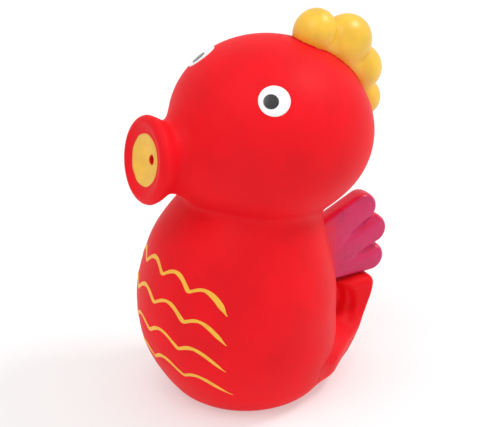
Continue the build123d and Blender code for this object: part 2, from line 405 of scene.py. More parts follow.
def skin_normals(piece, distance):
    """Normals from the slope of the distance field, so that two halves of one skin show
    no line where they meet."""
    points = np.empty(len(piece.data.vertices) * 3, np.float32)
    piece.data.vertices.foreach_get("co", points)
    points = points.reshape(-1, 3).astype(float) / MM
    steps = SLOPE_STEP * np.eye(3)
    slopes = [distance(points + step) - distance(points - step) for step in steps]
    normals = np.stack(slopes, -1)
    rim = points[:, 2] < SLOPE_STEP
    underside = (points[:, 2] < 0.6) & (body_distance(points) < -0.4)
    normals[underside] = (0, 0, -1)
    normals[rim & ~underside] += np.array([0, 0, -SLOPE_STEP])
    normals /= np.linalg.norm(normals, axis=1, keepdims=True) + 1e-12
    piece.data.normals_split_custom_set_from_vertices(normals.astype(np.float32))


# ---- crest ------------------------------------------------------------------------------
# lobes along the head's mid-line, from the head's centre:
# back, up, radius along the crest, radius away from the head, half thickness
CREST_LOBES = [
    (11.9, 21.9, 5.2, 6.0, 5.5),
    (20.0, 17.6, 6.9, 7.8, 6.1),
    (24.6, 10.9, 5.9, 5.7, 5.8),
    (25.6, 3.0, 4.9, 4.6, 5.0),
]
CREST_GROOVE = 0.5            # fillet of the grooves at their outer end
CREST_FOOT = 3.6              # and down at the head, where the lobes run into one another
CREST_FADE = 4.2              # height above the head at which the wide fillet has run out
CREST_END_ROWS = 25
CREST_REACH = 14.0            # more than the crest's surface can be from its middle line


def crest_distance(p):
    """Soft union of the lobes, each an egg turned to face away from the head; the fillet
    between them widens towards the head, so the grooves fade out at the crest's foot."""
    whole = np.full(p.shape[:-1], 1e3)
    near_head = 1 - ease(0.0, CREST_FADE, head_distance(p))
    fillet = CREST_GROOVE + (CREST_FOOT - CREST_GROOVE) * near_head
    for back, up, along, away, thick in CREST_LOBES:
        length = np.hypot(back, up)
        out_y, out_z = back / length, up / length
        q = p - HEAD_CENTRE - np.array([0, back, up])
        turned = np.stack([q[..., 0], q[..., 1] * out_z - q[..., 2] * out_y,
                           q[..., 1] * out_y + q[..., 2] * out_z], -1)
        whole = soft_union(whole, egg_distance(turned, np.array([thick, along, away])),
                           fillet)
    return whole


def crest_rows():
    """Skin of the crest: rows square to a line through the lobes' middles, with points
    where the lobes' union turns from inside to outside; each end closes with rows that
    turn a quarter circle to the line's direction."""
    stations = np.linspace(0, 1, len(CREST_LOBES))
    backs = [lobe[0] for lobe in CREST_LOBES]
    ups = [lobe[1] for lobe in CREST_LOBES]
    turn = np.linspace(0, 1, 170)
    line = HEAD_CENTRE + np.stack([0 * turn, through(stations, backs, turn),
                                   through(stations, ups, turn)], -1)
    along = np.gradient(line, axis=0)
    along /= np.linalg.norm(along, axis=1, keepdims=True)
    away = np.stack([0 * turn, -along[:, 2], along[:, 1]], -1)
    angles = around(112)
    quarter = np.linspace(0, pi / 2, CREST_END_ROWS + 1)[:-1]

    def with_ends(rows):
        return np.concatenate([np.repeat(rows[:1], CREST_END_ROWS, 0), rows,
                               np.repeat(rows[-1:], CREST_END_ROWS, 0)])

    middles = with_ends(line)
    ahead = np.concatenate([-np.cos(quarter), 0 * turn, np.cos(quarter)[::-1]])
    aside = np.concatenate([np.sin(quarter), 1 + 0 * turn, np.sin(quarter)[::-1]])
    along = with_ends(along)
    away = with_ends(away)
    wheel = (np.cos(angles)[None, :, None] * away[:, None]
             + np.sin(angles)[None, :, None] * SIDE)
    directions = ahead[:, None, None] * along[:, None] + aside[:, None, None] * wheel

    def field(reach):
        return crest_distance(middles[:, None] + reach[..., None] * directions)

    shape = directions.shape[:2]
    reach = first_root(field, np.zeros(shape), np.full(shape, CREST_REACH))
    return middles[:, None] + reach[..., None] * directions


# ---- flat mouldings: fin and tail -------------------------------------------------------
def lens_rows(middle, outline, half_thickness, ring_count, face_rows):
    """Flat closed piece in the mid-plane: rows shrink from the outline to the middle on
    each face, and each point stands half_thickness(y, z) away from the mid-plane."""
    angles = around(ring_count)
    share = 1 - (1 - np.linspace(0, 1, face_rows)) ** 2.2
    share[-1] = 1
    reach = outline(angles)
    y = middle[0] + share[:, None] * reach * np.cos(angles)
    z = middle[1] + share[:, None] * reach * np.sin(angles)
    x = half_thickness(y, z)
    x[-1] = 0
    left = np.stack([x, y, z], -1)
    right = np.stack([-x, y, z], -1)
    return np.concatenate([left, right[-2::-1]])


FIN_MIDDLE = (28.8, 32.0)
# fingers of the fin: tip's place and radius, and the root's place and radius
FIN_FINGERS = [
    ((33.1, 41.9), 3.8, (19.0, 35.2), 3.9),
    ((36.0, 35.2), 3.95, (19.0, 30.4), 5.5),
    ((35.5, 27.6), 3.8, (19.0, 27.3), 3.7),
]
FIN_EDGE = 1.15               # how far in from its outline a finger is rounded
FIN_CROWN = 0.35              # how much thicker each face is along a finger's middle
FIN_CROWN_DEPTH = 3.6
# grooves between the fingers, from the notch in the edge to where they fade out
FIN_GROOVES = [((36.6, 38.6), (25.0, 33.0)), ((39.4, 31.2), (27.0, 27.6))]
FIN_GROOVE_DEPTH = 1.15
FIN_GROOVE_WIDTH = 0.8
FIN_GROOVE_FADE = 0.3         # share of its length at which a groove starts to fade


def along_line(y, z, start, end):
    """Share of the way along a line, and the distance from it, of each point."""
    span = np.array(end) - np.array(start)
    share = np.clip(((y - start[0]) * span[0] + (z - start[1]) * span[1]) / (span @ span), 0, 1)
    return share, np.hypot(y - start[0] - share * span[0], z - start[1] - share * span[1])


def finger_depth(y, z, tip, tip_radius, root, root_radius):
    """How deep a point lies inside a finger that widens evenly from root to tip."""
    share, aside = along_line(y, z, root, tip)
    return root_radius + (tip_radius - root_radius) * share - aside


def fin_outline(angles):
    """Distance from the fin's middle to the edge of its fingers at each angle."""
    y_way, z_way = np.cos(angles), np.sin(angles)

    def field(reach):
        y = FIN_MIDDLE[0] + reach * y_way
        z = FIN_MIDDLE[1] + reach * z_way
        depths = [finger_depth(y, z, *finger) for finger in FIN_FINGERS]
        return -np.maximum.reduce(depths)

    return first_root(field, np.full(len(angles), 2.0), np.full(len(angles), 22.0))


def fin_thickness(y, z):
    """The fingers' faces: nearly flat in the middle and rounded at each edge like a
    rounded square, (1 - (1 - depth / edge)^3)^(1/3); the union of the fingers is the
    thickest, less grooves exp(-(distance / width)^2) that fade towards the root."""
    half = bpy.context.scene.seahorse_sizes.fin_thickness / 2 / MM
    faces = []
    for finger in FIN_FINGERS:
        inside = finger_depth(y, z, *finger)
        depth = np.clip(inside / FIN_EDGE, 0, 1)
        crown = FIN_CROWN * ease(0, FIN_CROWN_DEPTH, inside)
        faces.append((half + crown) * (1 - (1 - depth) ** 3) ** (1 / 3))
    face = np.maximum.reduce(faces)
    for start, end in FIN_GROOVES:
        share, aside = along_line(y, z, start, end)
        depth = FIN_GROOVE_DEPTH * (1 - ease(FIN_GROOVE_FADE, 1.0, share))
        face = face - depth * np.exp(-(aside / FIN_GROOVE_WIDTH) ** 2)
    return np.maximum(face, 0)


TAIL_MIDDLE = (25.5, 13.0)
TAIL_REACH = 17.0             # how far from its middle the tail's moulding can run
# outline of the tail's side, anticlockwise from the lower back
TAIL_OUTLINE = [
    (22.6, 0.2), (25.9, 1.9), (28.2, 4.3), (30.1, 7.3), (31.8, 10.5), (33.2, 13.7),
    (34.4, 16.8), (35.3, 19.8), (35.5, 21.8), (34.6, 23.1), (32.6, 23.3), (29.5, 23.1),
    (24.0, 22.3), (18.5, 20.0), (16.5, 12.0), (17.5, 3.0),
]
TAIL_BACK_POINTS = 8          # the outline's points that run up its back edge
TAIL_EDGE = 1.9               # rounding of the slab's edge
TAIL_FILLET = 1.5             # fillet to the barrel at the curl
TAIL_WEDGE = 0.75             # how fast each side widens forwards at the base
TAIL_FOOT_FILLET = 7.0        # and down at the base
TAIL_FOOT_HEIGHTS = (9.5, 16.0)    # between these the foot turns into the plain slab
TAIL_LIFT = 0.5               # clear of the surface that the toy stands on
TAIL_SINK = 1.2               # how far it is sunk where it is under the barrel's skin
# the two steps of the curl's hollow: middle, radii and depth
CURL_STEPS = [((25.4, 17.3), (4.8, 6.2), 1.5), ((24.4, 18.4), (3.4, 5.4), 1.7)]


def tail_outline(angles):
    """Smooth closed outline through the points, as a distance from the middle that
    changes with the angle."""
    y = np.array([p[0] for p in TAIL_OUTLINE]) - TAIL_MIDDLE[0]
    z = np.array([p[1] for p in TAIL_OUTLINE]) - TAIL_MIDDLE[1]
    turns = np.unwrap(np.arctan2(z, y))
    reaches = np.hypot(y, z)
    turns = np.concatenate([turns - 2 * pi, turns, turns + 2 * pi])
    reaches = np.tile(reaches, 3)
    first = turns[len(TAIL_OUTLINE)]
    return through(turns, reaches, first + (angles - first) % (2 * pi))


def tail_distance(p):
    """Rounded slab of the tail joined to the barrel by a fillet: how far out a point lies
    past the outline and past the slab's side. Towards the base the slab widens into a
    wedge, thicker the further a point lies in front of the tail's back edge."""
    y, z = p[..., 1] - TAIL_MIDDLE[0], p[..., 2] - TAIL_MIDDLE[1]
    half = bpy.context.scene.seahorse_sizes.tail_thickness / 2 / MM
    past_outline = np.hypot(y, z) - tail_outline(np.arctan2(z, y)) + TAIL_EDGE
    back_y, back_z = np.transpose(TAIL_OUTLINE[:TAIL_BACK_POINTS])
    back = np.interp(p[..., 2], back_z, back_y)
    low = 1 - ease(*TAIL_FOOT_HEIGHTS, p[..., 2])
    wedge = TAIL_WEDGE * low * np.maximum(back - p[..., 1], 0)
    past_side = np.abs(p[..., 0]) - half - wedge + TAIL_EDGE
    slab = (np.hypot(np.maximum(past_outline, 0), np.maximum(past_side, 0))
            + np.minimum(np.maximum(past_outline, past_side), 0) - TAIL_EDGE)
    off_middle = ease(0, half, np.abs(p[..., 0]))
    fillet = TAIL_FILLET + (TAIL_FOOT_FILLET - TAIL_FILLET) * low * off_middle
    return np.maximum(soft_union(body_distance(p), slab, fillet), TAIL_LIFT - p[..., 2])


def tail_edge(angles):
    """Where the tail's field ends in the mid-plane, from its middle outwards."""
    def field(reach):
        return tail_distance(np.stack([0 * reach, TAIL_MIDDLE[0] + reach * np.cos(angles),
                                       TAIL_MIDDLE[1] + reach * np.sin(angles)], -1))

    return first_root(field, np.full(len(angles), 1.0), np.full(len(angles), TAIL_REACH))


def tail_thickness(y, z):
    """Side of the tail: where its field ends sideways, less the two steps of the curl's
    hollow, and sunk under the barrel's skin where the fillet has run out."""
    def out_of(field):
        return first_root(lambda x: field(np.stack([x, y, z], -1)), 0 * y, 0 * y + 24)

    side = out_of(tail_distance)
    stand_out = side - out_of(body_distance)
    hollow = 0 * y
    for middle, radii, depth in CURL_STEPS:
        inside = 1 - np.hypot((y - middle[0]) / radii[0], (z - middle[1]) / radii[1])
        hollow = hollow + depth * ease(0, 0.35, inside)
    return np.maximum(side - hollow - TAIL_SINK * (1 - ease(0, 0.05, stand_out)), 0)


# ---- paint and print --------------------------------------------------------------------
# eyes: degrees from straight ahead towards the toy's left, and degrees up; the right eye
# is printed nearer to the mid-line
EYE_DIRECTIONS = [("left", 62.5, 35.6), ("right", -35.0, 45.5)]
PUPIL_FORWARD = 0.8
EYE_HEIGHTS = (-0.25, 0.13)   # of the disc's underside and top over the head's egg
PUPIL_HEIGHTS = (0.02, 0.22)


def eye_rows(azimuth, elevation, radius, forward, low, high):
    """Printed disc: rings square to the eye's direction, dropped onto the head's egg and
    raised to high, falling to low at the rim. Where a ring point meets the egg solves
    |(point + t direction) / half sizes| = 1."""
    azimuth = radians(azimuth)
    elevation = radians(elevation)
    direction = np.array([sin(azimuth) * cos(elevation), -cos(azimuth) * cos(elevation),
                          sin(elevation)])
    ahead = np.array([0, -1, 0]) - direction * -direction[1]
    ahead /= np.linalg.norm(ahead)
    across = np.cross(direction, ahead)
    share = np.array([0.0, 0.2, 0.45, 0.7, 0.86, 0.95, 0.985, 1.0, 1.0, 0.5, 0.0])
    height = np.array([high, high, high, high, high, high * 0.96, high * 0.8, high * 0.35,
                       low, low, low])
    angles = around(72)
    wheel = np.cos(angles)[:, None] * ahead + np.sin(angles)[:, None] * across
    start = (forward * ahead + radius * share[:, None, None] * wheel)
    half = head_sizes()
    q = to_head(start + HEAD_CENTRE) / half
    d = to_head(direction + HEAD_CENTRE) / half
    a = (d * d).sum()
    b = (q * d).sum(-1)
    c = (q * q).sum(-1) - 1
    t = (-b + np.sqrt(b * b - a * c)) / a
    return HEAD_CENTRE + start + (t + height[:, None])[..., None] * direction


def mouth_paint_rows():
    """Yellow paint in the mouth: a thin closed ring on the dish, from round the hole to
    the dish's edge, a little uneven at both rims."""
    angles = around(144)
    wheel = snout_wheel(angles)
    turn = np.linspace(0, 1, 14)
    inner = HOLE_RADIUS + 0.22 + 0.07 * np.sin(3 * angles + 1) + 0.04 * np.sin(7 * angles)
    outer = DISH_RADIUS + 0.05 + 0.05 * np.sin(2 * angles) + 0.04 * np.sin(9 * angles + 2)
    out = inner + (outer - inner) * turn[:, None]
    bowl = (out - HOLE_RADIUS) / (DISH_RADIUS - HOLE_RADIUS)
    back = DISH_EDGE_DEPTH + (DISH_DEPTH - DISH_EDGE_DEPTH) * (1 - np.clip(bowl, 0, 1.1) ** 2)
    lift = PAINT_LIFT * np.sin(pi * np.clip(turn, 0.04, 0.96)) ** 0.25
    top_back = back - lift[:, None]
    under_back = back + INK_SUNK
    out = np.concatenate([out, out[::-1]])
    back = np.concatenate([top_back, under_back[::-1]])
    return (MOUTH_CENTRE - back[..., None] * SNOUT_FORWARD + out[..., None] * wheel)


# belly waves, from the top: middle height, where one crest lies along the line, distance
# between crests, how far the ends droop, and half the line's length
BELLY_WAVES = [
    (39.3, -1.0, 9.15, 6.4, 24.0),
    (31.9, -2.2, 10.2, 6.6, 24.6),
    (23.6, -4.2, 10.3, 5.9, 23.1),
    (15.6, -4.4, 10.0, 5.6, 20.8),
]
WAVE_HEIGHT = 2.6             # from cusp to crest
BELLY_RADIUS = 24.3           # along which the lines' length is measured
WAVE_TAPER = 0.88             # share of its length at which a line starts to thin out
WAVE_THINNED = 0.93           # share of its width that is gone at its end
# how far ink and paint stand out of the skin, and how far they are sunk in it
INK_LIFT = 0.13
PAINT_LIFT = 0.14
INK_SUNK = 0.12


def wave_rows(middle_height, crest_at, pitch, droop, half_length, side):
    """Half of one printed line: a row of round crests that meet in cusps, height +
    H |cos(pi (s - crest) / pitch)|, softened at the cusps; the last crest falls all the
    way to the line's end. The line droops with the square of the length s, is drawn out
    to a point at its end, and lies a little above the barrel, which it meets at
    y = middle - sqrt(radius^2 - x^2)."""
    width = bpy.context.scene.seahorse_sizes.wave_width / MM
    along = np.linspace(0, 1, 170)
    s = side * half_length * along
    x = BELLY_RADIUS * np.sin(s / BELLY_RADIUS)
    crests = (half_length * along - side * crest_at) / pitch
    last = np.floor(crests[-1] - 0.25)
    crests = np.minimum(crests, last + 0.5 * (crests - last) / (crests[-1] - last))
    turn = pi * crests
    scallop = np.sqrt(np.cos(turn) ** 2 + 0.02) - 0.68
    z = middle_height - droop * (s / half_length) ** 2 + WAVE_HEIGHT * scallop
    line = np.stack([x, z], -1)
    way = np.gradient(line, axis=0)
    way /= np.linalg.norm(way, axis=1, keepdims=True)
    across = np.stack([-way[:, 1], way[:, 0]], -1)
    swell = 1 + 0.12 * np.sin(turn * 1.7 + middle_height) + 0.07 * np.sin(turn * 5.9)
    half = width / 2 * swell * (1 - ease(WAVE_TAPER, 1.0, along) * WAVE_THINNED)
    round_line = around(12)
    offset = np.cos(round_line)
    rise = np.sin(round_line)
    lift = np.where(rise > 1e-6, INK_LIFT * rise, -INK_SUNK)
    flat = line[:, None] + offset[:, None] * across[:, None] * half[:, None, None]
    x_all, z_all = flat[..., 0], flat[..., 1]
    reach = body_radius(z_all) + lift
    y_all = body_middle(z_all) - np.sqrt(np.maximum(reach ** 2 - x_all ** 2, 0))
    rows = np.stack([x_all, y_all, z_all], -1)
    first = rows[:1].mean(1, keepdims=True) + 0 * rows[:1]
    last = rows[-1:].mean(1, keepdims=True) + 0 * rows[-1:]
    return np.concatenate([first, rows, last])


# ---- material helpers -------------------------------------------------------------------
def feed(tree, socket, value):
    """Links a socket to another node's output, or sets it to a plain value."""
    if hasattr(value, "is_linked"):
        tree.links.new(value, socket)
    else:
        socket.default_value = value


def add_node(tree, kind, at, group=None, **inputs):
    """Adds a node and feeds its inputs by name, with spaces for underscores."""
    node = tree.nodes.new(kind)
    node.location = at
    if group:
        node.node_tree = group
    for name, value in inputs.items():
        feed(tree, node.inputs[name.replace("_", " ")], value)
    return node


def new_group(name, inputs, outputs):
    """Shader node group with named inputs (name, type, default) and outputs (name, type)."""
    group = bpy.data.node_groups.new(name, "ShaderNodeTree")
    for label, kind, default in inputs:
        socket = group.interface.new_socket(label, in_out="INPUT", socket_type=kind)
        if default is not None:
            socket.default_value = default
    for label, kind in outputs:
        group.interface.new_socket(label, in_out="OUTPUT", socket_type=kind)
    start = add_node(group, "NodeGroupInput", (-900, 0))
    end = add_node(group, "NodeGroupOutput", (700, 0))
    return group, start, end


def maths(tree, operation, at, first, second=None, clamp=False):
    """Maths node on links or numbers."""
    node = add_node(tree, "ShaderNodeMath", at)
    node.operation = operation
    node.use_clamp = clamp
    feed(tree, node.inputs[0], first)
    if second is not None:
        feed(tree, node.inputs[1], second)
    return node.outputs[0]


def mix_colours(tree, at, share, first, second):
    """Colour mix on links or colours."""
    node = add_node(tree, "ShaderNodeMix", at)
    node.data_type = "RGBA"
    colour_sockets = (node.inputs["Factor"], node.inputs[6], node.inputs[7])
    for socket, value in zip(colour_sockets, (share, first, second)):
        feed(tree, socket, value)
    return node.outputs[2]


def spread(tree, at, value, low, high, to_low=0.0, to_high=1.0):
    """Map Range node: value from low..high to to_low..to_high, smoothly and clamped."""
    node = add_node(tree, "ShaderNodeMapRange", at, Value=value, From_Min=low, From_Max=high,
                    To_Min=to_low, To_Max=to_high)
    node.interpolation_type = "SMOOTHSTEP"
    return node.outputs["Result"]


def grain_group():
    """Matte moulded skin: a fine grain, slow mottling and tiny specks of dust."""
    group, start, end = new_group(
        "moulded_skin",
        [("Vector", "NodeSocketVector", None), ("Grain Size", "NodeSocketFloat", 0.0006),
         ("Mottle Size", "NodeSocketFloat", 0.012), ("Speck Share", "NodeSocketFloat", 0.2)],
        [("Height", "NodeSocketFloat"), ("Mottle", "NodeSocketFloat"),
         ("Specks", "NodeSocketFloat")])
    place = start.outputs["Vector"]
    grain_scale = maths(group, "DIVIDE", (-700, 200), 1.0, start.outputs["Grain Size"])
    mottle_scale = maths(group, "DIVIDE", (-700, 0), 1.0, start.outputs["Mottle Size"])
    grain = add_node(group, "ShaderNodeTexNoise", (-500, 200), Vector=place,
                     Scale=grain_scale, Detail=3.0, Roughness=0.6)
    mottle = add_node(group, "ShaderNodeTexNoise", (-500, 0), Vector=place,
                      Scale=mottle_scale, Detail=4.0, Roughness=0.55)
    cells = add_node(group, "ShaderNodeTexVoronoi", (-500, -250), Vector=place, Scale=420.0)
    chance = add_node(group, "ShaderNodeSeparateColor", (-300, -350),
                      Color=cells.outputs["Color"])
    chosen = maths(group, "LESS_THAN", (-100, -350), chance.outputs[0],
                   start.outputs["Speck Share"])
    size = maths(group, "MULTIPLY", (-100, -500), chance.outputs[1], 0.09)
    near = maths(group, "SUBTRACT", (100, -450), size, cells.outputs["Distance"])
    dot = spread(group, (250, -450), near, 0.0, 0.04)
    specks = maths(group, "MULTIPLY", (420, -350), dot, chosen)
    height = maths(group, "ADD", (300, 200), grain.outputs["Fac"],
                   maths(group, "MULTIPLY", (150, 100), specks, 0.7))
    feed(group, end.inputs["Height"], height)
    feed(group, end.inputs["Mottle"], mottle.outputs["Fac"])
    feed(group, end.inputs["Specks"], specks)
    return group


def seam_group():
    """Parting line of the mould: a faint raised line in the mid-plane."""
    group, start, end = new_group(
        "parting_line",
        [("Vector", "NodeSocketVector", None), ("Width", "NodeSocketFloat", 0.00035)],
        [("Line", "NodeSocketFloat")])
    place = start.outputs["Vector"]
    parts = add_node(group, "ShaderNodeSeparateXYZ", (-650, 0), Vector=place)
    wander = add_node(group, "ShaderNodeTexNoise", (-650, -250), Vector=place, Scale=60.0,
                      Detail=2.0)
    shift = maths(group, "MULTIPLY", (-450, -250),
                  maths(group, "SUBTRACT", (-550, -250), wander.outputs["Fac"], 0.5), 0.0004)
    off = maths(group, "ABSOLUTE", (-250, 0),
                maths(group, "ADD", (-400, 0), parts.outputs["X"], shift))
    share = maths(group, "DIVIDE", (-100, 0), off, start.outputs["Width"])
    line = maths(group, "SUBTRACT", (100, 0), 1.0, share, clamp=True)
    feed(group, end.inputs["Line"], line)
    return group


def edge_group():
    """Ragged paint edge: 1 on the painted side of a distance, broken up by noise."""
    group, start, end = new_group(
        "paint_edge",
        [("Vector", "NodeSocketVector", None), ("Distance", "NodeSocketFloat", 0.0),
         ("Raggedness", "NodeSocketFloat", 0.0006), ("Softness", "NodeSocketFloat", 0.0002)],
        [("Painted", "NodeSocketFloat")])
    noise = add_node(group, "ShaderNodeTexNoise", (-600, -150),
                     Vector=start.outputs["Vector"], Scale=900.0, Detail=5.0, Roughness=0.7)
    wobble = maths(group, "MULTIPLY", (-250, -150),
                   maths(group, "SUBTRACT", (-420, -150), noise.outputs["Fac"], 0.5),
                   start.outputs["Raggedness"])
    reach = maths(group, "ADD", (-80, 0), start.outputs["Distance"], wobble)
    share = maths(group, "DIVIDE", (100, 0), reach, start.outputs["Softness"], clamp=True)
    feed(group, end.inputs["Painted"], share)
    return group


def use_group(tree, group, at, **inputs):
    """Places a node group and feeds its inputs by name."""
    return add_node(tree, "ShaderNodeGroup", at, group, **inputs)


def new_material(name, roughness, specular=0.5, coat=0.0, coat_roughness=0.2):
    """Material with a Principled shader whose constant values are set on its sockets."""
    material = bpy.data.materials.new(name)
    material.use_nodes = True
    tree = material.node_tree
    shader = tree.nodes["Principled BSDF"]
    shader.inputs["Roughness"].default_value = roughness
    shader.inputs["Specular IOR Level"].default_value = specular
    shader.inputs["Coat Weight"].default_value = coat
    shader.inputs["Coat Roughness"].default_value = coat_roughness
    place = add_node(tree, "ShaderNodeTexCoord", (-1400, 0))
    return material, tree, shader, place.outputs["Object"]


def bump_to(tree, shader, height, depth, strength):
    """Feeds a height, in shares of depth metres, to the shader's normal."""
    bump = add_node(tree, "ShaderNodeBump", (-150, -300), Strength=strength, Distance=depth,
                    Height=height)
    feed(tree, shader.inputs["Normal"], bump.outputs["Normal"])


def vary_roughness(tree, shader, value, low, high):
    """Roughness that changes over the surface between two values."""
    feed(tree, shader.inputs["Roughness"],
         spread(tree, (-300, -80), value, 0.3, 0.7, low, high))


def shade(colour, factor):
    """The colour made lighter or darker."""
    return (*[min(1.0, c * factor) for c in colour[:3]], 1.0)


def mottled(tree, at, mottle, colour, deep, light, low=0.3, high=0.7):
    """The colour in slow patches, from deep times to light times its brightness."""
    patch = spread(tree, (at[0] - 200, at[1]), mottle, low, high)
    return mix_colours(tree, at, patch, shade(colour, deep), shade(colour, light))


SPECK_COLOUR = (1.0, 0.12, 0.11, 1)
FOOT_PAINT_AND_SHADE_COLOUR = (0.80, 0.30, 0.03, 1)    # orange at the crest's foot: thin yellow paint over red, and painted shade in the corner against the head


def red_vinyl(groups, colours):
    """Matte red vinyl, deeper and lighter in slow patches, with specks and a mould line."""
    material, tree, shader, place = new_material("soft_red", 0.5, specular=0.1)
    skin = use_group(tree, groups["skin"], (-1000, 100), Vector=place, Grain_Size=0.0005,
                     Mottle_Size=0.014, Speck_Share=0.13)
    seam = use_group(tree, groups["seam"], (-1000, -200), Vector=place, Width=0.0004)
    coloured = mottled(tree, (-500, 250), skin.outputs["Mottle"], colours.vinyl, 0.93, 1.05)
    speck_share = maths(tree, "MULTIPLY", (-500, 50), skin.outputs["Specks"], 0.4)
    dusty = mix_colours(tree, (-300, 200), speck_share, coloured, SPECK_COLOUR)
    feed(tree, shader.inputs["Base Color"], dusty)
    shader.inputs["Subsurface Weight"].default_value = 0.12
    shader.inputs["Subsurface Radius"].default_value = (1.0, 0.12, 0.10)
    shader.inputs["Subsurface Scale"].default_value = 0.0022
    vary_roughness(tree, shader, skin.outputs["Mottle"], 0.46, 0.56)
    line = maths(tree, "MULTIPLY", (-500, -250), seam.outputs["Line"], 1.6)
    height = maths(tree, "ADD", (-320, -300), skin.outputs["Height"], line)
    bump_to(tree, shader, height, 0.00006, 0.35)
    return material


def crest_yellow(groups, colours):
    """Satin yellow paint that ends raggedly a little above the red skin of the head, and turns
    orange towards it: thin paint over red, and painted shade in the corner at the crest's foot.
    """
    material, tree, shader, place = new_material("crest_yellow", 0.38, specular=0.5, coat=0.12,
                                                 coat_roughness=0.25)
    skin = use_group(tree, groups["skin"], (-1000, 300), Vector=place, Grain_Size=0.0009,
                     Mottle_Size=0.006, Speck_Share=0.06)
    sizes = head_sizes() * MM
    mapping = add_node(tree, "ShaderNodeMapping", (-1200, -300), Vector=place,
                       Location=Vector(HEAD_CENTRE * MM), Rotation=(-HEAD_PITCH, 0, 0),
                       Scale=Vector(sizes))
    mapping.vector_type = "TEXTURE"
    length = add_node(tree, "ShaderNodeVectorMath", (-1000, -300),
                      Vector=mapping.outputs["Vector"])
    length.operation = "LENGTH"
    above = maths(tree, "MULTIPLY", (-820, -300),
                  maths(tree, "SUBTRACT", (-900, -300), length.outputs["Value"], 1.0),
                  float(sizes.mean()))
    edge = use_group(tree, groups["edge"], (-650, -300), Vector=place,
                     Distance=maths(tree, "SUBTRACT", (-760, -450), above, 0.00012),
                     Raggedness=0.0009, Softness=0.00015)
    paint = mottled(tree, (-500, 350), skin.outputs["Mottle"], colours.crest, 0.90, 1.06,
                    0.32, 0.68)
    # within about 3.5 mm above the head's egg the yellow is mixed towards orange: thin paint over
    # red, and painted shade in the corner at the crest's foot
    thin_paint_and_shade = spread(tree, (-700, 150), above, 0.0, 0.0035, 0.35, 0.0)
    paint_with_foot_shade = mix_colours(tree, (-350, 300), thin_paint_and_shade, paint, FOOT_PAINT_AND_SHADE_COLOUR)
    whole = mix_colours(tree, (-180, 250), edge.outputs["Painted"], tuple(colours.vinyl), paint_with_foot_shade)
    feed(tree, shader.inputs["Base Color"], whole)
    vary_roughness(tree, shader, skin.outputs["Mottle"], 0.33, 0.44)
    height = maths(tree, "ADD", (-320, -200), edge.outputs["Painted"],
                   maths(tree, "MULTIPLY", (-450, -150), skin.outputs["Height"], 0.35))
    bump_to(tree, shader, height, 0.00008, 0.4)
    return material


def flat_paint(groups, name, colour, roughness, coat, mottle=0.004):
    """Printed or sprayed paint with uneven cover."""
    material, tree, shader, place = new_material(name, roughness, coat=coat)
    skin = use_group(tree, groups["skin"], (-1000, 100), Vector=place, Grain_Size=0.0007,
                     Mottle_Size=mottle, Speck_Share=0.05)
    feed(tree, shader.inputs["Base Color"],
         mottled(tree, (-500, 250), skin.outputs["Mottle"], colour, 0.93, 1.04))
    vary_roughness(tree, shader, skin.outputs["Mottle"], roughness * 0.9, roughness * 1.12)
    bump_to(tree, shader, skin.outputs["Height"], 0.00004, 0.3)
    return material


def fin_magenta(groups, colours):
    """Magenta paint sprayed over red vinyl: thin and red at the root; along the top and the other
    faces that turn away from the sides it is mixed towards red by the surface normal, which is
    painted shade.
    """
    material, tree, shader, place = new_material("fin_magenta", 0.3, specular=0.3, coat=0.08,
                                                 coat_roughness=0.18)
    skin = use_group(tree, groups["skin"], (-1200, 300), Vector=place, Grain_Size=0.0008,
                     Mottle_Size=0.005, Speck_Share=0.02)
    parts = add_node(tree, "ShaderNodeSeparateXYZ", (-1200, -100), Vector=place)
    paint = mottled(tree, (-700, 350), skin.outputs["Mottle"], colours.fin, 0.92, 1.08)
    facing = add_node(tree, "ShaderNodeNewGeometry", (-1200, -300))
    normal = add_node(tree, "ShaderNodeSeparateXYZ", (-1020, -300),
                      Vector=facing.outputs["Normal"])
    edge_on = maths(tree, "ABSOLUTE", (-860, -300), normal.outputs["X"])
    # painted shade: faces that turn away from the sides (top, tips, underside), picked by their
    # normal, are mixed towards the red vinyl
    painted_shade_on_edges = spread(tree, (-700, -300), edge_on, 0.35, 0.85, 0.62, 0.0)
    near_root = spread(tree, (-900, -100), parts.outputs["Y"], 0.0215, 0.0265, 0.75, 0.0)
    speckled = maths(tree, "MULTIPLY", (-700, -100), near_root,
                     spread(tree, (-900, 80), skin.outputs["Mottle"], 0.35, 0.6, 0.7, 1.0))
    # thin: real thin paint near the root, together with the painted shade on the faces that turn
    # away from the sides
    thin = maths(tree, "MAXIMUM", (-500, -200), painted_shade_on_edges, speckled)
    whole = mix_colours(tree, (-350, 250), thin, paint, tuple(colours.vinyl))
    feed(tree, shader.inputs["Base Color"], whole)
    vary_roughness(tree, shader, skin.outputs["Mottle"], 0.26, 0.38)
    bump_to(tree, shader, skin.outputs["Height"], 0.00005, 0.3)
    return material


def make_materials():
    """Makes the shared node groups, then every material of the toy."""
    colours = bpy.context.scene.seahorse_colours
    groups = {"skin": grain_group(), "seam": seam_group(), "edge": edge_group()}
    red_vinyl(groups, colours)
    crest_yellow(groups, colours)
    fin_magenta(groups, colours)
    flat_paint(groups, "mouth_yellow", colours.mouth, 0.42, 0.05)
    flat_paint(groups, "wave_yellow", colours.waves, 0.45, 0.05, mottle=0.002)
    flat_paint(groups, "eye_white", colours.eye, 0.28, 0.2)
    flat_paint(groups, "pupil_dark", colours.pupil, 0.22, 0.35)


# ---- sizes and colours to change ---------------------------------------------------------
def length_property(name, description, default):
    """A length in metres that a user may change."""
    return bpy.props.FloatProperty(name=name, description=description, default=default,
                                   unit="LENGTH")


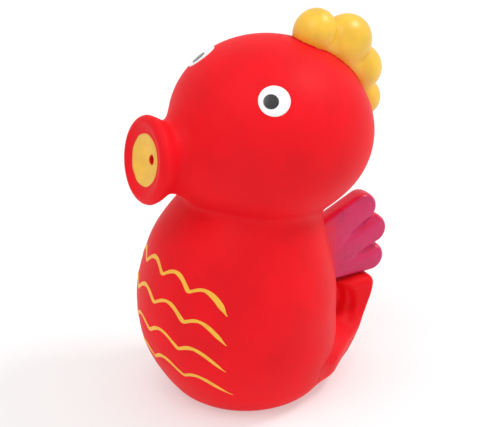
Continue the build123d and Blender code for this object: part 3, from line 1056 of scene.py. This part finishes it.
class SeahorseSizes(bpy.types.PropertyGroup):
    """Sizes that a user would change."""

    head_width: length_property("Head width", "Across the cheeks", 0.0488)
    head_length: length_property("Head length", "From forehead to back of head", 0.0512)
    head_height: length_property("Head height", "Along the head's own upright axis", 0.0444)
    eye_radius: length_property("Eye radius", "White disc of an eye", 0.0038)
    pupil_radius: length_property("Pupil radius", "Dark disc of an eye", 0.00185)
    wave_width: length_property("Wave width", "Width of the belly's printed lines", 0.00098)
    fin_thickness: length_property("Fin thickness", "Across the dorsal fin", 0.0050)
    tail_thickness: length_property("Tail thickness", "Across the curled tail", 0.0094)


def colour_property(name, description, default):
    """A colour that a user may change."""
    return bpy.props.FloatVectorProperty(
        name=name, description=description, default=default, subtype="COLOR", size=4,
        min=0.0, max=1.0)


class SeahorseColours(bpy.types.PropertyGroup):
    """Colours of the vinyl, the paints and the floor."""

    vinyl: colour_property("Vinyl", "Red vinyl of the moulding", (0.80, 0.007, 0.014, 1))
    crest: colour_property("Crest", "Paint of the crest", (0.84, 0.50, 0.030, 1))
    mouth: colour_property("Mouth", "Paint in the mouth", (0.87, 0.50, 0.05, 1))
    waves: colour_property("Waves", "Ink of the belly's lines", (0.88, 0.46, 0.03, 1))
    fin: colour_property("Fin", "Paint of the dorsal fin", (0.60, 0.020, 0.115, 1))
    eye: colour_property("Eye", "Ink of the eye's white", (0.88, 0.87, 0.89, 1))
    pupil: colour_property("Pupil", "Ink of the pupil", (0.018, 0.016, 0.017, 1))
    floor: colour_property("Floor", "Pale floor", (0.58, 0.58, 0.58, 1))


# ---- operators --------------------------------------------------------------------------
class SEAHORSE_OT_materials(bpy.types.Operator):
    """Makes the toy's vinyl, paints and inks"""

    bl_idname = "seahorse.materials"
    bl_label = "Materials"

    def execute(self, context):
        make_materials()
        return {"FINISHED"}


class SEAHORSE_OT_head(bpy.types.Operator):
    """Makes the head with its trumpet snout and squirt hole"""

    bl_idname = "seahorse.head"
    bl_label = "Head and snout"

    def execute(self, context):
        head = balloon("head_and_snout", head_rows())
        finish_piece(head, "soft_red",
                     ["head_shell", "snout"], "shell")
        return {"FINISHED"}


class SEAHORSE_OT_body(bpy.types.Operator):
    """Makes the body's two halves"""

    bl_idname = "seahorse.body"
    bl_label = "Body halves"

    def execute(self, context):
        for side, name in SIDES:
            half = balloon(f"body_{name}_half", body_rows(side))
            skin_normals(half, neck_distance)
            finish_piece(half, "soft_red",
                         ["body_shell", f"squeeze_panel_{name}"])
            blend_to_flank(half)
        return {"FINISHED"}


class SEAHORSE_OT_crest(bpy.types.Operator):
    """Makes the yellow crest with its four lobes"""

    bl_idname = "seahorse.crest"
    bl_label = "Crest"

    def execute(self, context):
        crest = balloon("crest_lobes", crest_rows())
        finish_piece(crest, "crest_yellow", ["crest"],
                     "shell")
        return {"FINISHED"}


class SEAHORSE_OT_fin(bpy.types.Operator):
    """Makes the magenta dorsal fin"""

    bl_idname = "seahorse.fin"
    bl_label = "Dorsal fin"

    def execute(self, context):
        rows = lens_rows(FIN_MIDDLE, fin_outline, fin_thickness, 260, 46)
        fin = balloon("fin_with_fingers", rows)
        finish_piece(fin, "fin_magenta", ["dorsal_fin"])
        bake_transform(fin)
        return {"FINISHED"}


class SEAHORSE_OT_tail(bpy.types.Operator):
    """Makes the curled tail against the lower back"""

    bl_idname = "seahorse.tail"
    bl_label = "Curled tail"

    def execute(self, context):
        rows = lens_rows(TAIL_MIDDLE, tail_edge, tail_thickness, 240, 90)
        tail = balloon("tail_curl_moulding", rows)
        finish_piece(tail, "soft_red", ["tail_curl"],
                     "shell")
        return {"FINISHED"}


class SEAHORSE_OT_eyes(bpy.types.Operator):
    """Makes the printed eyes"""

    bl_idname = "seahorse.eyes"
    bl_label = "Eyes"

    def execute(self, context):
        sizes = context.scene.seahorse_sizes
        for name, azimuth, elevation in EYE_DIRECTIONS:
            rows = eye_rows(azimuth, elevation, sizes.eye_radius / MM, 0.0, *EYE_HEIGHTS)
            white = balloon(f"eye_disc_{name}", rows)
            finish_piece(white, "eye_white",
                         [f"eye_white_{name}"], "shell")
            rows = eye_rows(azimuth, elevation, sizes.pupil_radius / MM, PUPIL_FORWARD,
                            *PUPIL_HEIGHTS)
            pupil = balloon(f"pupil_disc_{name}", rows)
            finish_piece(pupil, "pupil_dark",
                         [f"pupil_{name}"], "shell")
        return {"FINISHED"}


class SEAHORSE_OT_mouth(bpy.types.Operator):
    """Makes the yellow paint in the mouth"""

    bl_idname = "seahorse.mouth"
    bl_label = "Mouth paint"

    def execute(self, context):
        paint = ring_piece("mouth_paint", mouth_paint_rows())
        finish_piece(paint, "mouth_yellow",
                     ["mouth_disc"], "shell")
        return {"FINISHED"}


class SEAHORSE_OT_waves(bpy.types.Operator):
    """Makes the four printed lines on the belly, each in two halves"""

    bl_idname = "seahorse.waves"
    bl_label = "Belly waves"

    def execute(self, context):
        for number, wave in enumerate(BELLY_WAVES, start=1):
            for side, name in SIDES:
                line = balloon(f"wave_{number}_{name}", wave_rows(*wave, side))
                finish_piece(line, "wave_yellow",
                             [f"belly_wave_{number}"])
                blend_to_flank(line)
        return {"FINISHED"}


class SEAHORSE_OT_stage(bpy.types.Operator):
    """Makes the pale floor, the soft lights and the camera"""

    bl_idname = "seahorse.stage"
    bl_label = "Stage"

    def execute(self, context):
        scene = context.scene
        scene.view_settings.view_transform = "Standard"
        make_floor(scene.seahorse_colours)
        make_lights(scene)
        make_camera(scene)
        return {"FINISHED"}


# ---- stage ------------------------------------------------------------------------------
FLOOR_HALF = 3.0              # metres
FLOOR_GLOW = 0.38
WORLD_STRENGTH = 0.78
# lights: name, direction to the viewer's right, to the front and up, then distance and
# size in metres and power in watts
LIGHTS = [
    ("key", -0.35, 0.5, 1.1, 0.9, 0.6, 1.9),
    ("rear", 0.7, -0.15, 0.95, 0.8, 0.22, 2.3),
]


def make_floor(colours):
    """A wide level sheet at the height of the base."""
    half = FLOOR_HALF
    mesh = bpy.data.meshes.new("floor")
    mesh.from_pydata([(-half, -half, 0), (half, -half, 0), (half, half, 0), (-half, half, 0)],
                     [], [(0, 1, 2, 3)])
    floor = bpy.data.objects.new("floor", mesh)
    bpy.context.scene.collection.objects.link(floor)
    material, tree, shader, place = new_material("floor_paper", 0.9, specular=0.1)
    noise = add_node(tree, "ShaderNodeTexNoise", (-900, 0), Vector=place, Scale=8.0,
                     Detail=2.0)
    shader.inputs["Emission Color"].default_value = (1, 1, 1, 1)
    shader.inputs["Emission Strength"].default_value = FLOOR_GLOW
    feed(tree, shader.inputs["Base Color"],
         mix_colours(tree, (-500, 0), noise.outputs["Fac"], shade(colours.floor, 0.99),
                     shade(colours.floor, 1.01)))
    floor.data.materials.append(material)


VIEW_AZIMUTH = radians(61.1)
VIEW_ELEVATION = radians(24.5)
VIEW_TARGET = np.array([0.0, 0.0013, 0.0465])
VIEW_DISTANCE = 0.5
VIEW_LENS = 146.3             # in mm, for a sensor 36 mm wide
VIEW_BACK = np.array([sin(VIEW_AZIMUTH) * cos(VIEW_ELEVATION),
                      -cos(VIEW_AZIMUTH) * cos(VIEW_ELEVATION), sin(VIEW_ELEVATION)])


def make_light(scene, name, towards, distance, size, power):
    """Soft round light that looks at the toy from the given direction."""
    light = bpy.data.lights.new(name, "AREA")
    light.shape = "DISK"
    light.size = size
    light.energy = power
    lamp = bpy.data.objects.new(name, light)
    way = Vector(towards).normalized()
    lamp.location = Vector(VIEW_TARGET) + way * distance
    lamp.rotation_euler = (-way).to_track_quat("-Z", "Y").to_euler()
    scene.collection.objects.link(lamp)


def make_lights(scene):
    """A white surround, a soft key from the upper left and one from the right rear."""
    world = bpy.data.worlds.new("studio")
    world.use_nodes = True
    world.node_tree.nodes["Background"].inputs["Color"].default_value = (1, 1, 1, 1)
    world.node_tree.nodes["Background"].inputs["Strength"].default_value = WORLD_STRENGTH
    scene.world = world
    right = np.array([cos(VIEW_AZIMUTH), sin(VIEW_AZIMUTH), 0])
    front = np.array([sin(VIEW_AZIMUTH), -cos(VIEW_AZIMUTH), 0])
    up = np.array([0, 0, 1.0])
    for name, rightward, forward, upward, distance, size, power in LIGHTS:
        towards = rightward * right + forward * front + upward * up
        make_light(scene, name, towards, distance, size, power)


def make_camera(scene):
    """Camera at the height and side from which the toy shows its left cheek."""
    data = bpy.data.cameras.new("camera")
    data.sensor_width = 36.0
    data.lens = VIEW_LENS
    data.clip_start = 0.01
    data.clip_end = 50
    camera = bpy.data.objects.new("camera", data)
    camera.location = Vector(VIEW_TARGET + VIEW_BACK * VIEW_DISTANCE)
    camera.rotation_euler = (-Vector(VIEW_BACK)).to_track_quat("-Z", "Y").to_euler()
    scene.collection.objects.link(camera)
    scene.camera = camera


class SEAHORSE_PT_panel(bpy.types.Panel):
    """Lists the toy's sizes, colours and pieces"""

    bl_idname = "SEAHORSE_PT_panel"
    bl_label = "Seahorse Squirter"
    bl_space_type = "VIEW_3D"
    bl_region_type = "UI"
    bl_category = "Seahorse"

    def draw(self, context):
        for group in (context.scene.seahorse_sizes, context.scene.seahorse_colours):
            box = self.layout.box()
            for name in group.__annotations__:
                box.prop(group, name)
        for operator in OPERATORS:
            self.layout.operator(operator.bl_idname)


OPERATORS = (
    SEAHORSE_OT_materials, SEAHORSE_OT_head, SEAHORSE_OT_body, SEAHORSE_OT_crest,
    SEAHORSE_OT_fin, SEAHORSE_OT_tail, SEAHORSE_OT_eyes, SEAHORSE_OT_mouth,
    SEAHORSE_OT_waves, SEAHORSE_OT_stage,
)
CLASSES = (SeahorseSizes, SeahorseColours, *OPERATORS, SEAHORSE_PT_panel)


def register():
    for cls in CLASSES:
        bpy.utils.register_class(cls)
    bpy.types.Scene.seahorse_sizes = bpy.props.PointerProperty(type=SeahorseSizes)
    bpy.types.Scene.seahorse_colours = bpy.props.PointerProperty(type=SeahorseColours)


def unregister():
    del bpy.types.Scene.seahorse_colours
    del bpy.types.Scene.seahorse_sizes
    for cls in reversed(CLASSES):
        bpy.utils.unregister_class(cls)


def main():
    register()
    for operator in OPERATORS:
        group, name = operator.bl_idname.split(".")
        getattr(getattr(bpy.ops, group), name)()


if __name__ == "__main__":
    main()
